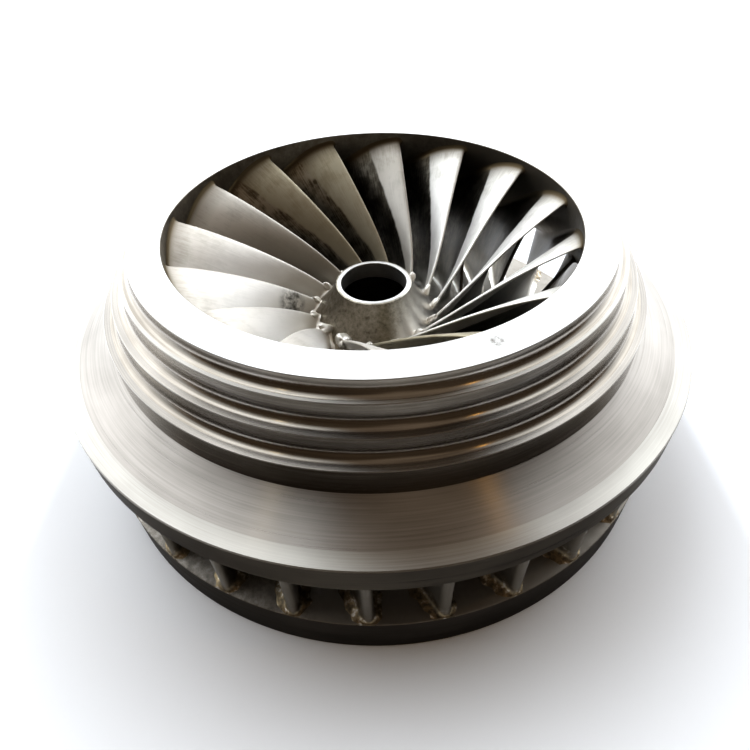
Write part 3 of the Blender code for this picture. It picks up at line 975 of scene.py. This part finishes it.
def ground_steel(name, body, strip, reach, roughness):
    """Hand-ground blade steel: a stained body, a bright rough strip, brown band roots, welds.

    body holds the hex values stain, dark and light; a dark body is painted shade. strip holds
    dull, plain, and a tone laid on toward the hub as a painted highlight. reach widens the strip
    beside the outlet edge, and a large one lets it cover the whole blade.
    """
    material, tree, shader = new_material(name)
    place = add_node(tree, "TexCoord").outputs["Object"]
    span, run, band_root, hub_root = (
        add_node(tree, "Attribute", attribute_name=value).outputs["Fac"]
        for value in ("span", "from_outlet", "band_root", "hub_root"))
    cloud = add_node(tree, "TexNoise", {"Vector": place, "Scale": PATCHES_PER_METRE,
                                        "Detail": 6.0, "Roughness": 0.66})
    mottle = add_node(tree, "Mix", {0: MARKS_SHARE, 2: cloud, 3: grinding_marks(tree, span, run)})
    grain = add_node(tree, "TexNoise", {"Vector": place, "Scale": WELD_GRAINS_PER_METRE,
                                        "Detail": 2.0, "Roughness": 0.6})
    ground = set_ramp(add_node(tree, "ValToRGB", {0: mottle}), BODY_STOPS, body)
    bright = set_ramp(add_node(tree, "ValToRGB", {0: mottle}), STRIP_STOPS, strip[:2])
    heated = set_ramp(add_node(tree, "ValToRGB", {0: grain}), WELD_STOPS, WELD_STAINS)
    flat = add_node(tree, "VectorMath", {0: place, 1: (1, 1, 0)}, operation="MULTIPLY")
    radius = add_node(tree, "VectorMath", {0: flat}, operation="LENGTH")
    # Painted shade toward the inlet.
    inlet = add_node(tree, "MapRange",
                     {0: radius.outputs["Value"], 1: INLET_SHADE_RADII[0], 2: INLET_SHADE_RADII[1]},
                     interpolation_type="SMOOTHSTEP")
    mask = strip_mask(tree, place, span, run, reach)
    # The strip's third tone, laid on toward the hub, is a painted highlight.
    strip_with_sheen = cover(tree, bright, [(painted_sheen_share(tree, span, run), linear(strip[2]))])
    smudge = spot_share(tree, place, SMUDGE_PLACE, SMUDGE_RADIUS)
    # Welds: near white, partly a painted highlight, and heat stains toward the inlet, laid by the
    # painted-shade mask.
    metal = cover(tree, linear(WELD_SHEEN_COLOUR), [(inlet, heated)])
    colour = cover(tree, ground, [(mask, strip_with_sheen), (smudge, linear(SMUDGE_COLOUR)),
                                  (band_root, linear(ROOT_BROWN)),
                                  (inlet, linear(INLET_SHADE_COLOUR)), (hub_root, metal)])
    spread = (roughness - GROUND_SPREAD, roughness + GROUND_SPREAD)
    plain, bumps = relief(tree, mottle, NOISE_RANGE, spread, 0.25, GROUND_DEPTH)
    rough = add_node(tree, "Mix", {0: mask, 2: plain, 3: STRIP_ROUGHNESS})
    fill(tree, shader, {"Metallic": 1.0, "Base Color": colour, "Roughness": rough,
                        "Normal": bumps})
    return material


# Fettled casting with old oil in its skin, and a strip ground long ago: warm greys.
LONG_STEEL = ground_steel("mottled_blade_steel", ("5c5343", "878073", "a69f92"),
                          ("938a75", "a69f8c", "b9b2a0"), 1.0, 0.36)
# An even mid grey with a wide strip: a half-lit copy, painted light between the pale and the
# dark blades.
HALF_LIT_STEEL = ground_steel("mid_grey_blade_steel_painted_light", ("8f8a81", "a19c93", "aeaaa2"),
                          ("aaa59d", "bcb7ae", "b0aba2"), 3.0, 0.40)
# Rough all over like a fresh flap wheel's finish, pale as painted light for the blades that face
# the bright sky, and white as a painted highlight where the blade turns up toward the hub.
LIT_PALE_STEEL = ground_steel("pale_blade_steel_painted_light", ("8f8a81", "a19c93", "aeaaa2"),
                           ("b0aaa0", "c2bcb3", "f6f3ee"), 20.0, 0.40)
# Painted shade: a dark body for a blade that faces the dark, beside a narrow, duller strip that
# turns white toward the hub as a painted highlight.
DEEP_SHADE_STEEL = ground_steel("darkest_blade_steel_painted_shade", ("3a352e", "4d483f", "6a655b"),
                          ("a09b92", "b4afa6", "f0ede6"), 0.85, 0.36)
# The same dark body, painted shade, beside a strip ground lately and nearly white, partly a
# painted highlight: a bright edge against a dark passage.
SHADE_AND_HIGHLIGHT_STEEL = ground_steel("dark_blade_steel_painted_shade_and_highlight", ("3a352e", "4d483f", "6a655b"),
                          ("bcb8b0", "d4d1ca", "fbf9f5"), 1.0, 0.36)
# Splitters, deep in the passages and ground with a small wheel: plain brown grey.
SHORT_STEEL = ground_steel("hand_ground_splitter_steel", ("5c564c", "7d776d", "a09b92"),
                           ("8f8a81", "a09b92", "a09b92"), 1.0, 0.40)
# Which blade takes which copy follows how it faces the light: the copies are painted light and
# shade.
BLADE_STEELS = {4: DEEP_SHADE_STEEL, 7: HALF_LIT_STEEL} | dict.fromkeys(range(8, 13), LIT_PALE_STEEL)
BLADE_STEELS |= dict.fromkeys((1, 2, 3, 14, 15), SHADE_AND_HIGHLIGHT_STEEL)
print("materials:", [material.name for material in bpy.data.materials])

# %% [markdown]
# ## Put the pieces in the scene
# Each new piece rides on the one body, hides the imported node that it stands for, and takes its
# materials by zone.


# %% Pieces, what they replace and their slots
def add_piece(mesh, materials, node, zones=(0,)):
    """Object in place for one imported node, whose faces take their materials by zone."""
    piece = bpy.data.objects.new(mesh.name, mesh)
    bpy.context.scene.collection.objects.link(piece)
    for material in materials:
        mesh.materials.append(material)
    numbers = np.tile(zones, len(mesh.polygons) // len(zones))
    mesh.polygons.foreach_set("material_index", numbers.astype(np.int32))
    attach(piece, "root")
    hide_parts(node)


add_piece(BAND_MESH, [FACED, WALLS, LEDGES, CONE, STRIP, RIM, THROAT, LOW_LEDGES], "band",
          BAND.zones)
add_piece(CROWN_MESH, [FLOW, FACED, CAST, CAST, BORE, INLET], "crown", CROWN.zones)
for blade_mesh, blade_node in zip(LONG_MESHES, LONG_BLADES):
    steel = BLADE_STEELS.get(int(blade_node[-2:]), LONG_STEEL)
    add_piece(blade_mesh, [steel], blade_node)
for blade_mesh, blade_node in zip(SHORT_MESHES, SHORT_BLADES):
    add_piece(blade_mesh, [SHORT_STEEL], blade_node)
print("pieces:", 2 + len(LONG_MESHES) + len(SHORT_MESHES))

# %% [markdown]
# ## Floor and lamps
# The floor is plain and pale. Beside the runner it glows, which lights the lower walls from both
# sides, and it ends in front so that the seal fillets don't mirror it. Two small warm lamps put
# thin streaks on the turned walls. Large ones would wash them out.

# %% Floor and lamps
FLOOR_SIDE = 4.0
FLOOR_FRONT = -1.3
FLOOR_BACK = 5.0
FLOOR_Z = -0.0005
FLOOR_COLOUR = "f4f4f4"
GLOW_COLOUR = "e2ecff"
GLOW_EDGE = (0.56, 0.68)
SIDE_GLOW = 1.3
LAMP_TARGET = (0.0, 0.0, 0.3)
LAMPS = (("right_lamp", (1.0, -0.6, 2.39), 0.03, 0.5, "ffc050"),
         ("left_lamp", (-1.02, -0.6, 2.39), 0.04, 0.4, "fff0d0"))


def add_floor():
    """Flat sheet just under the runner, which glows softly to its left and right."""
    corners = [(-FLOOR_SIDE, FLOOR_FRONT, FLOOR_Z), (FLOOR_SIDE, FLOOR_FRONT, FLOOR_Z),
               (FLOOR_SIDE, FLOOR_BACK, FLOOR_Z), (-FLOOR_SIDE, FLOOR_BACK, FLOOR_Z)]
    mesh = bpy.data.meshes.new("floor")
    mesh.from_pydata(corners, [], [(0, 1, 2, 3)])
    floor = bpy.data.objects.new("floor", mesh)
    bpy.context.scene.collection.objects.link(floor)
    material, tree, shader = new_material("pale_floor_paint")
    place = add_node(tree, "TexCoord").outputs["Object"]
    parts = add_node(tree, "SeparateXYZ", {0: place})
    aside = add_node(tree, "Math", {0: parts.outputs["X"]}, operation="ABSOLUTE")
    glow = add_node(tree, "MapRange",
                    {0: aside, 1: GLOW_EDGE[0], 2: GLOW_EDGE[1], 4: SIDE_GLOW},
                    interpolation_type="SMOOTHSTEP")
    fill(tree, shader, {"Base Color": linear(FLOOR_COLOUR), "Roughness": 0.9,
                        "Emission Color": linear(GLOW_COLOUR), "Emission Strength": glow})
    mesh.materials.append(material)


def add_lamp(name, place, side, power, colour):
    """Square lamp that points from its place to the target."""
    data = bpy.data.lights.new(name, "AREA")
    data.shape = "SQUARE"
    data.size = side
    data.energy = power
    data.color = linear(colour)[:3]
    lamp = bpy.data.objects.new(name, data)
    bpy.context.scene.collection.objects.link(lamp)
    backward = unit(np.array(place) - np.array(LAMP_TARGET))
    right = unit(np.cross((0.0, 0.001, 1.0), backward))
    matrix = np.identity(4)
    matrix[:3] = np.stack([right, np.cross(backward, right), backward, place], axis=1)
    lamp.matrix_world = Matrix(matrix.tolist())


add_floor()
for lamp_row in LAMPS:
    add_lamp(*lamp_row)
print("lamps:", [lamp_row[0] for lamp_row in LAMPS])

# %% [markdown]
# ## Surroundings
# Metal shows what it mirrors: a world that is bright behind and at the sides, a little further
# back on the right, and dark in front and in one patch overhead. So faces that look up go white
# and walls that face the camera stay dark. A picture of a real hall would do too, but steps
# between a few tones are easier to fit.

# %% World and view
LIGHT_STEP = (-0.35, 0.45)
ROOF_STEP = (0.58, 0.80)
ROOF_CENTRE_X = 0.12
RIGHT_SKEW = 0.22
TONE_STOPS = (0.2, 0.9)
TONES = ("ffe0bc", "f2f8ff")


def set_world(back_light, front_light, roof_light, seen_light):
    """Surroundings: a smooth step from front to back light along y - 0.22 x, with x >= 0.

    Where z - |x - 0.12| is large, it gives way to the roof's light. Dim light is warm and bright
    light white. What the camera sees past the floor is one even tone.
    """
    world = bpy.data.worlds.new("studio")
    world.use_nodes = True
    tree = world.node_tree
    place = add_node(tree, "TexCoord").outputs["Generated"]
    x, y, z = add_node(tree, "SeparateXYZ", {0: place}).outputs
    to_right = add_node(tree, "Math", {0: x, 1: 0.0}, operation="MAXIMUM")
    skewed = add_node(tree, "Math", {0: to_right, 1: -RIGHT_SKEW, 2: y},
                      operation="MULTIPLY_ADD")
    light = add_node(tree, "MapRange",
                     {0: skewed, 1: LIGHT_STEP[0], 2: LIGHT_STEP[1], 3: front_light,
                      4: back_light}, interpolation_type="SMOOTHSTEP")
    aside = add_node(tree, "Math", {0: x, 1: ROOF_CENTRE_X}, operation="SUBTRACT")
    away = add_node(tree, "Math", {0: aside}, operation="ABSOLUTE")
    under = add_node(tree, "Math", {0: z, 1: away}, operation="SUBTRACT")
    roof = add_node(tree, "MapRange", {0: under, 1: ROOF_STEP[0], 2: ROOF_STEP[1]},
                    interpolation_type="SMOOTHSTEP")
    above = add_node(tree, "Mix", {0: roof, 2: light, 3: roof_light})
    path = add_node(tree, "LightPath").outputs["Is Camera Ray"]
    strength = add_node(tree, "Mix", {0: path, 2: above, 3: seen_light})
    tone = set_ramp(add_node(tree, "ValToRGB", {0: strength}), TONE_STOPS, TONES)
    fill(tree, tree.nodes["Background"], {"Color": tone, "Strength": strength})
    bpy.context.scene.world = world


set_world(back_light=3.6, front_light=0.12, roof_light=0.38, seen_light=1.0)
VIEW = bpy.context.scene.view_settings
VIEW.view_transform = "Standard"
VIEW.gamma = 0.85
VIEW.exposure = 0.2
print("view gamma and exposure:", round(VIEW.gamma, 3), round(VIEW.exposure, 3))
